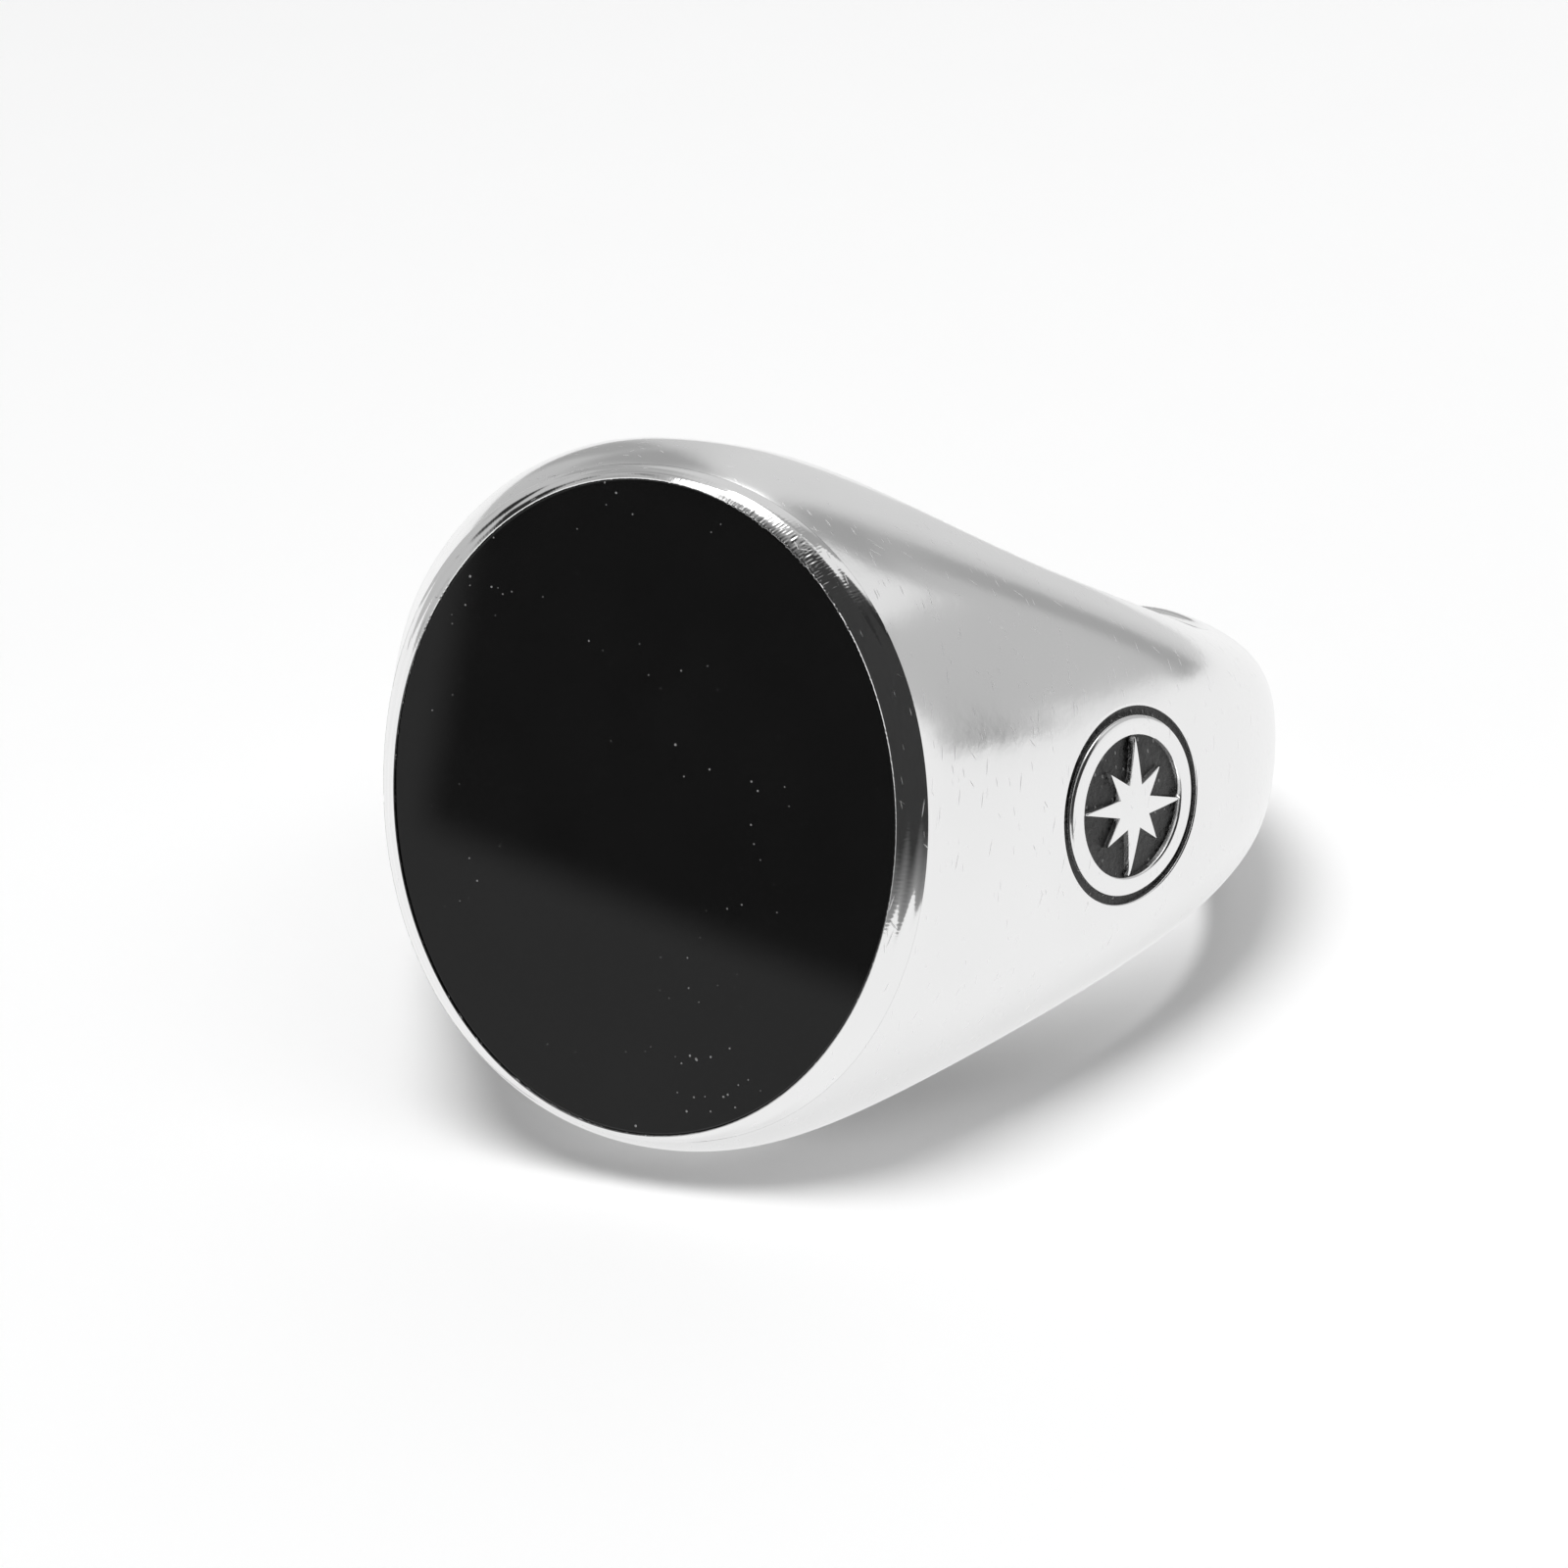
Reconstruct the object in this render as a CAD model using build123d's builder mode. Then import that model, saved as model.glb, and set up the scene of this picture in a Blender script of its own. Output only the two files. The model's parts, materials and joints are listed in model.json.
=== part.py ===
from build123d import *
import math
import os

# Signet ring: a cast silver body with an oval onyx face and a badge set in each shoulder.
#
# Row frame, millimetres: the ring lies on one side, on the plane Z = 0. Its face looks towards -Y
# and leans back a little, because the sides taper from the wide face to the narrow back. The origin
# is under the middle of the ring.
#
# Ring coordinates, which the sections use: x runs across the face, y along the finger, and z from
# the centre of the finger bore out through the middle of the face.

os.makedirs("parts", exist_ok=True)

# Finger bore
bore_radius = 9.9
bore_edge_round = 0.25
flat_edge_round = 0.2

# Face: the onyx, and the polished bevel around it
stone_half_width = 6.92
stone_half_length = 8.32
face_height = 12.97
stone_fullness = 0.56
rim_fullness = 0.59
bevel_drop = 0.59
bevel_side_width = 0.63
bevel_end_width = 0.3

# Shoulders: control points (half size, height) of the outline seen along the finger and seen
# from the side, each a cubic curve from the bevel down to the level of the bore's centre
shoulder_fullness = 0.885
band_side_radius = 12.05
width_pull_rim = (7.95, 10.9)
width_pull_side = (band_side_radius, 5.5)
length_pull_rim = (10.7, 9.92)
length_pull_side = (6.16, 5.08)
band_side_half_length = 4.63

# Back half of the band
band_back_radius = 11.7
band_back_half_length = 3.6
band_back_fullness = 0.93
band_flare_power = 3.4
side_flat_half_length = 2.0

# Stone setting: the collar's lip covers a chamfer round the top edge of the stone, and the
# collar ends a little inside the rim of the body
lip_height_above_stone = 0.06
lip_cover_width = 0.08
lip_cover_depth = 0.12
stone_thickness = 1.7
cement_thickness = 0.12
rim_land = 0.05

# Badge in each shoulder
badge_centre_height = 6.0
groove_radius = 2.57
badge_radius = 2.35
badge_border_width = 0.5
badge_pocket_depth = 0.9
field_depth = 0.28
field_enamel_thickness = 0.1
groove_enamel_sink = 0.14
star_long_reach = 1.95
star_short_reach = 1.35
star_valley_radius = 0.62

# Sections that the two halves of the body are lofted through. The power crowds the upper ones
# towards the rim, where the outline bends most. The band's sections start outside a core radius,
# inside the finger bore, so that they don't meet at the axis.
upper_section_count = 9
upper_section_power = 1.3
band_section_count = 13
band_core_radius = 7.0


def cubic(points, t):
    """Point at t (0 to 1) of a cubic Bezier curve, as (half size, height)."""
    weights = ((1 - t) ** 3, 3 * t * (1 - t) ** 2, 3 * t * t * (1 - t), t ** 3)
    return tuple(sum(w * point[i] for w, point in zip(weights, points)) for i in (0, 1))


def half_size_at(points, height):
    """Half size of a shoulder outline at a height, found by halving the interval."""
    low, high = 0.0, 1.0
    for _ in range(50):
        middle = (low + high) / 2
        if cubic(points, middle)[1] > height:
            low = middle
        else:
            high = middle
    return cubic(points, low)[0]


rim_height = face_height - bevel_drop
rim_half_width = stone_half_width + bevel_side_width
rim_half_length = stone_half_length + bevel_end_width
width_curve = (
    (rim_half_width, rim_height), width_pull_rim, width_pull_side, (band_side_radius, 0),
)
length_curve = (
    (rim_half_length, rim_height), length_pull_rim, length_pull_side, (band_side_half_length, 0),
)

# The side flats touch the swelling under the bevel and the back of the band. Their slope is the
# steepest line from the back of the band to the swelling, above the edge of the bore.
swelling_points = [cubic(length_curve, step / 200) for step in range(100)]
side_slope = max(
    (half_length - side_flat_half_length) / (height + band_back_radius)
    for half_length, height in swelling_points
    if height > bore_radius + bore_edge_round
)
lean = math.atan(side_slope)
bore_centre_height = (side_flat_half_length + band_back_radius * side_slope) * math.cos(lean)
bore_centre_setback = 1.71

bore_centre = Vector(0, bore_centre_setback, bore_centre_height)
face_normal = Vector(0, -math.cos(lean), math.sin(lean))
finger_axis = Vector(0, math.sin(lean), math.cos(lean))
ring_plane = Plane(origin=bore_centre, x_dir=(1, 0, 0), z_dir=face_normal)
bore_plane = Plane(origin=bore_centre, x_dir=(1, 0, 0), z_dir=finger_axis)


def at_ring(x, y, z):
    """Row-frame position of a point given in ring coordinates."""
    return bore_centre + Vector(1, 0, 0) * x + finger_axis * y + face_normal * z


def draw_oval(half_width, half_length, fullness):
    """Four quarter curves round an oval. Fullness 0.552 is an ellipse, and 1 is nearly square."""
    corners = ((1, 1), (-1, 1), (-1, -1), (1, -1))
    for index, (side, end) in enumerate(corners):
        at_side = (side * half_width, 0)
        near_side = (side * half_width, end * fullness * half_length)
        near_end = (side * fullness * half_width, end * half_length)
        at_end = (0, end * half_length)
        if index % 2 == 0:
            Bezier(at_side, near_side, near_end, at_end)
        else:
            Bezier(at_end, near_end, near_side, at_side)


def band_half_length_at(height):
    """Half length of the band, below the bore's centre, on a plane across it at a height."""
    rise = 1 + height / band_back_radius
    return band_back_half_length + (band_side_half_length - band_back_half_length) * (
        max(rise, 0) ** band_flare_power
    )


def draw_band_section(angle):
    """Section of the band at an angle from the back of the ring, with its inside at the axis."""
    side_share = math.sin(math.radians(angle)) ** 2
    radius = band_back_radius + (band_side_radius - band_back_radius) * side_share
    fullness = band_back_fullness + (shoulder_fullness - band_back_fullness) * side_share
    fall = math.cos(math.radians(angle))
    outer_half_length = band_half_length_at(-radius * fall)
    inner_half_length = band_half_length_at(-radius * fullness * fall)
    middle_half_length = band_half_length_at(0)
    for end in (1, -1):
        Bezier(
            (radius, 0),
            (radius, end * fullness * outer_half_length),
            (fullness * radius, end * inner_half_length),
            (0, end * middle_half_length),
        )
    Line((0, middle_half_length), (0, -middle_half_length))


def fullness_at(height):
    """Fullness of the section at a height, easing from the shoulders up to the rim."""
    down = 1 - height / rim_height
    ease = down * down * (3 - 2 * down)
    return rim_fullness + (shoulder_fullness - rim_fullness) * ease


def band_plane(angle):
    """Plane of a band section. Angle 0 is the back of the ring, 90 the +X side; x is outward."""
    turn = math.radians(angle)
    outward = Vector(1, 0, 0) * math.sin(turn) - face_normal * math.cos(turn)
    return Plane(origin=bore_centre, x_dir=outward, z_dir=outward.cross(finger_axis))


# Outer shape of the head and shoulders, before anything is cut from it
with BuildPart() as head_blank:
    for index in range(upper_section_count):
        share = index / (upper_section_count - 1)
        height = rim_height * (1 - (1 - share) ** upper_section_power)
        with BuildSketch(ring_plane.offset(height)):
            with BuildLine():
                draw_oval(
                    half_size_at(width_curve, height),
                    half_size_at(length_curve, height),
                    fullness_at(height),
                )
            make_face()
    loft()
    # Bevel from the rim up to the stone
    with BuildSketch(ring_plane.offset(rim_height)):
        with BuildLine():
            draw_oval(rim_half_width, rim_half_length, rim_fullness)
        make_face()
    with BuildSketch(ring_plane.offset(face_height)):
        with BuildLine():
            draw_oval(stone_half_width, stone_half_length, stone_fullness)
        make_face()
    loft(ruled=True)


def badge_plane(side):
    """Plane on the outer surface of a shoulder at the middle of its badge, z outwards."""
    step = 0.05
    above = half_size_at(width_curve, badge_centre_height + step)
    below = half_size_at(width_curve, badge_centre_height - step)
    fall = (below - above) / (2 * step)
    outward = Vector(side, 0, 0) + face_normal * fall
    centre = at_ring(side * half_size_at(width_curve, badge_centre_height), 0, badge_centre_height)
    return Plane(origin=centre, x_dir=finger_axis.cross(outward), z_dir=outward)


def sunk_blank(side, depth):
    """The head blank moved into the shoulder, so that its surface lies at a depth."""
    return Pos(badge_plane(side).z_dir * -depth) * head_blank.part


stone_top = face_height - lip_height_above_stone
stone_bottom = stone_top - stone_thickness
seat_floor = stone_bottom - cement_thickness


def oval_prism(half_width, half_length, fullness, bottom, top):
    """Prism on an oval between two heights above the bore's centre."""
    with BuildPart() as prism:
        with BuildSketch(ring_plane.offset(bottom)):
            with BuildLine():
                draw_oval(half_width, half_length, fullness)
            make_face()
        extrude(amount=top - bottom)
    return prism.part


girdle_half_width = stone_half_width + lip_cover_width
girdle_half_length = stone_half_length + lip_cover_width
setting_space = oval_prism(
    rim_half_width - rim_land, rim_half_length - rim_land, rim_fullness, seat_floor, face_height + 1
)
space_above_stone = oval_prism(
    stone_half_width, stone_half_length, stone_fullness, stone_top, face_height + 1
)
cement_space = oval_prism(
    girdle_half_width, girdle_half_length, stone_fullness, seat_floor, stone_bottom
)

upper_flat = Plane(
    origin=at_ring(0, side_flat_half_length + band_back_radius * side_slope, 0),
    z_dir=finger_axis - face_normal * side_slope,
)

# Cast silver body
with BuildPart() as ring_body:
    # Back half of the band, from the -X side round the back to the +X side
    for index in range(band_section_count):
        angle = -90 + 180 * index / (band_section_count - 1)
        with BuildSketch(band_plane(angle)):
            with BuildLine():
                draw_band_section(angle)
            make_face()
            with Locations((band_core_radius / 2, 0)):
                Rectangle(band_core_radius, 3 * band_side_half_length, mode=Mode.SUBTRACT)
    loft()
    add(head_blank.part)
    # Finger bore, with its edges eased
    with BuildSketch(bore_plane.offset(-face_height)):
        Circle(bore_radius)
    extrude(amount=2 * face_height, mode=Mode.SUBTRACT)
    bore_wall = ring_body.faces().filter_by(GeomType.CYLINDER)
    fillet(bore_wall.edges().filter_by(GeomType.LINE, reverse=True), bore_edge_round)
    # Flats on both sides: the lower one is what the ring lies on
    split(bisect_by=Plane.XY, keep=Keep.TOP)
    split(bisect_by=upper_flat, keep=Keep.BOTTOM)
    # Where the flats run into the bore, at the back, their edges are eased too
    flat_bore_edges = ring_body.edges().filter_by(GeomType.ELLIPSE)
    fillet(flat_bore_edges.sort_by(SortBy.LENGTH)[-2:], flat_edge_round)
    # Seat for the stone
    add(setting_space, mode=Mode.SUBTRACT)
    # Pockets for the badges
    for side in (1, -1):
        with BuildSketch(badge_plane(side).offset(-badge_pocket_depth)):
            Circle(groove_radius)
        extrude(amount=2 * badge_pocket_depth, mode=Mode.SUBTRACT)
ring_body.part.label = "ring_body"
export_step(ring_body.part, "parts/ring_body.step")

# Flat black onyx, with a chamfer round its top edge under the lip
with BuildPart() as onyx_inlay:
    for height, half_width, half_length in (
        (stone_bottom, girdle_half_width, girdle_half_length),
        (stone_top - lip_cover_depth, girdle_half_width, girdle_half_length),
        (stone_top, stone_half_width, stone_half_length),
    ):
        with BuildSketch(ring_plane.offset(height)):
            with BuildLine():
                draw_oval(half_width, half_length, stone_fullness)
            make_face()
    loft(ruled=True)
onyx_inlay.part.label = "onyx_inlay"
export_step(onyx_inlay.part, "parts/onyx_inlay.step")

# Cement between the stone and its seat
with BuildPart() as stone_cement:
    add(cement_space)
stone_cement.part.label = "stone_cement"
export_step(stone_cement.part, "parts/stone_cement.step")

# Silver collar round the stone: its top is the bevel, and its lip is burnished over the stone
with BuildPart() as bezel_collar:
    add(setting_space)
    add(head_blank.part, mode=Mode.INTERSECT)
    add(cement_space, mode=Mode.SUBTRACT)
    add(onyx_inlay.part, mode=Mode.SUBTRACT)
    add(space_above_stone, mode=Mode.SUBTRACT)
bezel_collar.part.label = "bezel_collar"
export_step(bezel_collar.part, "parts/bezel_collar.step")


def star_points():
    """Corners of an eight-pointed compass star, whose long points reach the badge's border."""
    reaches = (star_long_reach, star_valley_radius, star_short_reach, star_valley_radius)
    points = []
    for index in range(16):
        turn = math.radians(90 + 22.5 * index)
        points.append((reaches[index % 4] * math.cos(turn), reaches[index % 4] * math.sin(turn)))
    return points


# Each shoulder: a silver badge, black enamel in its field, and black enamel in the groove round it
for side, name in ((1, "right"), (-1, "left")):
    pocket_plane = badge_plane(side).offset(-badge_pocket_depth)
    through = 2 * badge_pocket_depth

    with BuildPart() as field_space:
        with BuildSketch(pocket_plane):
            Circle(badge_radius - badge_border_width)
            with BuildLine():
                Polyline(*star_points(), close=True)
            make_face(mode=Mode.SUBTRACT)
        extrude(amount=through)
        add(sunk_blank(side, field_depth), mode=Mode.SUBTRACT)

    with BuildPart() as badge:
        with BuildSketch(pocket_plane):
            Circle(badge_radius)
        extrude(amount=through)
        add(head_blank.part, mode=Mode.INTERSECT)
        add(field_space.part, mode=Mode.SUBTRACT)
    badge.part.label = f"{name}_badge"
    export_step(badge.part, f"parts/{name}_badge.step")

    with BuildPart() as field_enamel:
        add(field_space.part)
        add(sunk_blank(side, field_depth - field_enamel_thickness), mode=Mode.INTERSECT)
    field_enamel.part.label = f"{name}_field_enamel"
    export_step(field_enamel.part, f"parts/{name}_field_enamel.step")

    with BuildPart() as groove_enamel:
        with BuildSketch(pocket_plane):
            Circle(groove_radius)
            Circle(badge_radius, mode=Mode.SUBTRACT)
        extrude(amount=through)
        add(sunk_blank(side, groove_enamel_sink), mode=Mode.INTERSECT)
    groove_enamel.part.label = f"{name}_groove_enamel"
    export_step(groove_enamel.part, f"parts/{name}_groove_enamel.step")
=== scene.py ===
import json
import math

import bmesh
import bpy
import numpy as np
from mathutils import Matrix, Vector


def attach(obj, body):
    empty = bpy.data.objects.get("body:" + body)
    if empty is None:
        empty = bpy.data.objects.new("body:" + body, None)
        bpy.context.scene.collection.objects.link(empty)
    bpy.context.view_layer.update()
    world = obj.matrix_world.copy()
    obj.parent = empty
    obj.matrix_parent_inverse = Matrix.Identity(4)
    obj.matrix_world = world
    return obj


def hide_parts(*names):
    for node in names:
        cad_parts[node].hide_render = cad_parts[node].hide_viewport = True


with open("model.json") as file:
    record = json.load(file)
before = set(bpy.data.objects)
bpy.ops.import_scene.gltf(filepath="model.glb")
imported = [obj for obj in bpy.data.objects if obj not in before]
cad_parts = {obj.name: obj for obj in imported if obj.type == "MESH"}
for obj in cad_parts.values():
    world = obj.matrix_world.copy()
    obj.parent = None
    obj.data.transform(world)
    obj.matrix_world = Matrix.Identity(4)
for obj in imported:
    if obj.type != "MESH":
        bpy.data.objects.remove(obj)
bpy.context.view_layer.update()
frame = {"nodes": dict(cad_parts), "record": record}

# Shapes are worked out in millimetres, in ring coordinates: x runs across the face, y along the
# finger, and z from the centre of the finger bore out through the middle of the face.
MM = 0.001
MOUNTS = {mount["name"]: mount for mount in frame["record"]["mounts"]}
BORE_CENTRE = np.array(MOUNTS["finger_bore"]["pos_m"])
BORE_RADIUS = MOUNTS["finger_bore"]["dims"]["r_mm"]
ACROSS = np.array([1.0, 0.0, 0.0])
ALONG = np.array(MOUNTS["finger_bore"]["axis"])
ALONG /= np.linalg.norm(ALONG)
OUTWARD = np.cross(ACROSS, ALONG)
SIDE_SLOPE = ALONG[1] / ALONG[2]

# Driving dimensions of the ring, the same as the CAD model's. The band's radii and the bevel's top
# are 2 to 15 microns smaller, which keeps the finer mesh inside the CAD model's box.
STONE_HALF = np.array([6.92, 8.32])
FACE_HEIGHT = 12.97
STONE_FULLNESS = 0.56
RIM_FULLNESS = 0.59
BEVEL_DROP = 0.59
BEVEL_WIDTH = np.array([0.63, 0.30])
SHOULDER_FULLNESS = 0.885
BAND_SIDE_RADIUS = 12.046
BAND_SIDE_HALF_LENGTH = 4.63
BAND_BACK_RADIUS = 11.698
BAND_BACK_HALF_LENGTH = 3.6
BAND_BACK_FULLNESS = 0.93
BAND_FLARE_POWER = 3.4
SIDE_FLAT_HALF_LENGTH = 2.0
STONE_TOP = FACE_HEIGHT - 0.06
STONE_BOTTOM = STONE_TOP - 1.7
SEAT_FLOOR = STONE_BOTTOM - 0.12
RIM_LAND = 0.05
BEVEL_TOP = FACE_HEIGHT - 0.015
LIP_COVER = 0.08
BADGE_HEIGHT = 6.0
GROOVE_RADIUS = 2.57
BADGE_RADIUS = 2.35
BADGE_FIELD_RADIUS = 1.85
BADGE_POCKET_DEPTH = 0.9
BADGE_FLOOR_DEPTH = 0.28
BADGE_ENAMEL_DEPTH = 0.18
BADGE_GROOVE_DEPTH = 0.14
STAR_POINTS = 8
STAR_LONG_REACH = 1.95
STAR_SHORT_REACH = 1.35
STAR_VALLEY_RADIUS = 0.62
STAR_CLEARANCE = 0.03
ENAMEL_SAG = 0.03

RIM_HEIGHT = FACE_HEIGHT - BEVEL_DROP
RIM_HALF = STONE_HALF + BEVEL_WIDTH

# Outlines seen along the finger and from the side, as control points (half size, height)
WIDTH_CURVE = ((RIM_HALF[0], RIM_HEIGHT), (7.95, 10.9), (BAND_SIDE_RADIUS, 5.5), (BAND_SIDE_RADIUS, 0.0))
LENGTH_CURVE = ((RIM_HALF[1], RIM_HEIGHT), (10.7, 9.92), (6.16, 5.08), (BAND_SIDE_HALF_LENGTH, 0.0))

# Mesh density
RIM_COLUMNS = 64
SIDE_COLUMNS = 76
BACK_COLUMNS = 90
OUTER_ROWS = 66
EDGE_ROWS = 6
WALL_ROWS = 12
OVAL_COLUMNS = 256
BEVEL_COLUMNS = 2304
BEVEL_ROWS = 22

RIM_CORNER_TURN = math.radians(50)
BORE_EDGE_ROUND = 0.27


# ---------------------------------------------------------------- curves and surfaces

def cubic(points, t):
    """Points of a cubic Bezier curve, as two arrays: half sizes and heights."""
    weights = ((1 - t) ** 3, 3 * t * (1 - t) ** 2, 3 * t * t * (1 - t), t ** 3)
    return tuple(sum(w * point[i] for w, point in zip(weights, points)) for i in (0, 1))


def outline_reader(points):
    """A function that gives an outline's half size at any height."""
    halves, heights = cubic(points, np.linspace(1, 0, 4001))
    return lambda height: np.interp(height, heights, halves)


half_width_at = outline_reader(WIDTH_CURVE)
half_length_at = outline_reader(LENGTH_CURVE)


def quarter_oval(t, fullness):
    """Quarter of a unit oval, from its side (t = 0) to its end (t = 1)."""
    start, near_start, near_end, end = (1 - t) ** 3, 3 * t * (1 - t) ** 2, 3 * t * t * (1 - t), t ** 3
    return start + near_start + fullness * near_end, fullness * near_start + near_end + end


def fullness_at(height):
    """Fullness of the head's section, easing from the shoulders up to the rim."""
    down = np.clip(1 - height / RIM_HEIGHT, 0, 1)
    return RIM_FULLNESS + (SHOULDER_FULLNESS - RIM_FULLNESS) * down * down * (3 - 2 * down)


def head_point(height, t):
    """Points on the head at a height and a place t round its quarter section."""
    x, y = quarter_oval(t, fullness_at(height))
    x, y = x * half_width_at(height), y * half_length_at(height)
    return np.stack(np.broadcast_arrays(x, y, height), axis=-1)


def band_half_length(height):
    """Half length of the band at a height, below the bore's centre."""
    rise = np.maximum(1 + height / BAND_BACK_RADIUS, 0)
    growth = BAND_SIDE_HALF_LENGTH - BAND_BACK_HALF_LENGTH
    return BAND_BACK_HALF_LENGTH + growth * rise ** BAND_FLARE_POWER


def band_point(turn, t):
    """Points on the band at a turn from the middle of the face and a place t across its section."""
    share = math.sin(turn) ** 2
    fall = math.cos(turn)
    radius = BAND_BACK_RADIUS + (BAND_SIDE_RADIUS - BAND_BACK_RADIUS) * share
    full = BAND_BACK_FULLNESS + (SHOULDER_FULLNESS - BAND_BACK_FULLNESS) * share
    lengths = [band_half_length(radius * fall), band_half_length(radius * full * fall), band_half_length(0)]
    weights = ((1 - t) ** 3, 3 * t * (1 - t) ** 2, 3 * t * t * (1 - t), t ** 3)
    out = radius * (weights[0] + weights[1] + full * weights[2])
    along = full * lengths[0] * weights[1] + lengths[1] * weights[2] + lengths[2] * weights[3]
    return np.stack([out * math.sin(turn), along, out * fall], axis=-1)


def solve_falling(function, goal):
    """Value from 0 to 1 where a falling function reaches a goal, by halving."""
    low, high = np.zeros_like(goal), np.ones_like(goal)
    for _ in range(40):
        middle = (low + high) / 2
        above = function(middle) > goal
        low = np.where(above, middle, low)
        high = np.where(above, high, middle)
    return low


def soft_min(a, b, width):
    """Smaller of two values, rounded where they cross."""
    overlap = np.maximum(width - np.abs(a - b), 0) / width
    return np.minimum(a, b) - overlap * overlap * width / 4


def cut_by_flats(points):
    """Half of the surface with the side flat taken off, its edge rounded more at the back."""
    points = points.copy()
    height = points[..., 2]
    flat = SIDE_FLAT_HALF_LENGTH + (height + BAND_BACK_RADIUS) * SIDE_SLOPE
    edge = 0.32 + 0.1 * np.clip(-height / 6, 0, 1)
    points[..., 1] = soft_min(points[..., 1], flat, edge)
    return points


# ---------------------------------------------------------------- mesh building

def to_row(points):
    """Row-frame places, in metres, of points in ring coordinates."""
    return BORE_CENTRE + MM * (np.asarray(points) @ np.array([ACROSS, ALONG, OUTWARD]))


def resample(path, count, corner_weight=0.35):
    """The same path with count + 1 points, closer together where it bends."""
    steps = np.diff(path, axis=0)
    lengths = np.linalg.norm(steps, axis=1)
    unit = steps / np.maximum(lengths, 1e-12)[:, None]
    bends = np.linalg.norm(np.diff(unit, axis=0), axis=1)
    weights = lengths.copy()
    weights[1:] += corner_weight * bends
    travel = np.concatenate([[0], np.cumsum(weights)])
    goals = np.linspace(0, travel[-1], count + 1)
    return np.stack([np.interp(goals, travel, path[:, i]) for i in range(3)], axis=-1)


def cut_back(path, distance):
    """Path shortened at its end by a distance."""
    lengths = np.linalg.norm(np.diff(path, axis=0), axis=1)
    travel = np.concatenate([[0], np.cumsum(lengths)])
    end = travel[-1] - distance
    last = np.array([np.interp(end, travel, path[:, i]) for i in range(3)])
    return np.vstack([path[travel < end - 1e-6], last])


def rounded_corner(start, corner, end, count):
    """Points of a round corner between two edges, without its first point."""
    t = np.linspace(0, 1, count + 1)[1:, None]
    pull = 0.6
    near_start, near_end = start + pull * (corner - start), end + pull * (corner - end)
    first_half = (1 - t) ** 3 * start + 3 * t * (1 - t) ** 2 * near_start
    return first_half + 3 * t * t * (1 - t) * near_end + t ** 3 * end


def add_grid(mesh, grid, keep=None):
    """Adds a grid of points to a mesh as quads. keep says which quads stay."""
    rows, columns = grid.shape[:2]
    places = to_row(grid)
    verts = [[mesh.verts.new(places[i, j]) for j in range(columns)] for i in range(rows)]
    for i in range(rows - 1):
        for j in range(columns - 1):
            if keep is None or keep[i, j]:
                mesh.faces.new((verts[i][j], verts[i][j + 1], verts[i + 1][j + 1], verts[i + 1][j]))


def make_piece(name, grids, material, node, sharp_angle=40):
    """One piece from grids of points: welded, faced outwards, smooth, riding on the frame."""
    mesh = bmesh.new()
    for grid in grids:
        points, keep = grid if isinstance(grid, tuple) else (grid, None)
        add_grid(mesh, points, keep)
    bmesh.ops.remove_doubles(mesh, verts=mesh.verts, dist=1e-7)
    bmesh.ops.dissolve_degenerate(mesh, edges=mesh.edges, dist=1e-8)
    holes = [edge for edge in mesh.edges if edge.is_boundary]
    if holes:
        bmesh.ops.holes_fill(mesh, edges=holes)
    bmesh.ops.recalc_face_normals(mesh, faces=mesh.faces)
    data = bpy.data.meshes.new(name)
    mesh.to_mesh(data)
    mesh.free()
    data.polygons.foreach_set("use_smooth", [True] * len(data.polygons))
    data.set_sharp_from_angle(angle=math.radians(sharp_angle))
    data.materials.append(material)
    piece = bpy.data.objects.new(name, data)
    bpy.context.scene.collection.objects.link(piece)
    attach(piece, "root")
    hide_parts(node)
    return piece


def mirrored(grid, axis):
    """A grid mirrored in ring coordinates: axis 0 is x and 1 is y."""
    flipped = grid.copy()
    flipped[..., axis] *= -1
    return flipped


# ---------------------------------------------------------------- ring body

def outer_paths():
    """Half columns of the outer surface, at y > 0 and x > 0, from the rim or the middle line to the
    edge of the bore. They go round from the middle of the face to the back of the ring."""
    paths = []
    s = np.linspace(0, 1, 500)
    for index in range(RIM_COLUMNS + SIDE_COLUMNS + 1):
        if index <= RIM_COLUMNS:
            share = index / RIM_COLUMNS
            turn = RIM_CORNER_TURN * share
            start_height, start_t = RIM_HEIGHT, 1 - share
        else:
            share = (index - RIM_COLUMNS) / SIDE_COLUMNS
            turn = RIM_CORNER_TURN + (math.pi / 2 - RIM_CORNER_TURN) * share
            start_height, start_t = RIM_HEIGHT * (1 - share), 0.0
        edge_height = BORE_RADIUS * math.cos(turn)
        goal = np.array(BORE_RADIUS * math.sin(turn) / half_width_at(edge_height))
        edge_t = solve_falling(lambda t: quarter_oval(t, fullness_at(edge_height))[0], goal)
        level_start = 1 + np.clip((turn - RIM_CORNER_TURN) / math.radians(14), 0, 1)
        height = start_height + (edge_height - start_height) * s ** level_start
        paths.append(head_point(height, start_t + (edge_t - start_t) * s))
    for index in range(1, BACK_COLUMNS + 1):
        turn = math.pi / 2 * (1 + index / BACK_COLUMNS)
        goal = np.array(BORE_RADIUS)
        edge_t = solve_falling(lambda t: np.hypot(*band_point(turn, t)[..., [0, 2]].T), goal)
        paths.append(band_point(turn, s * edge_t))
    return [cut_by_flats(path) for path in paths]


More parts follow.
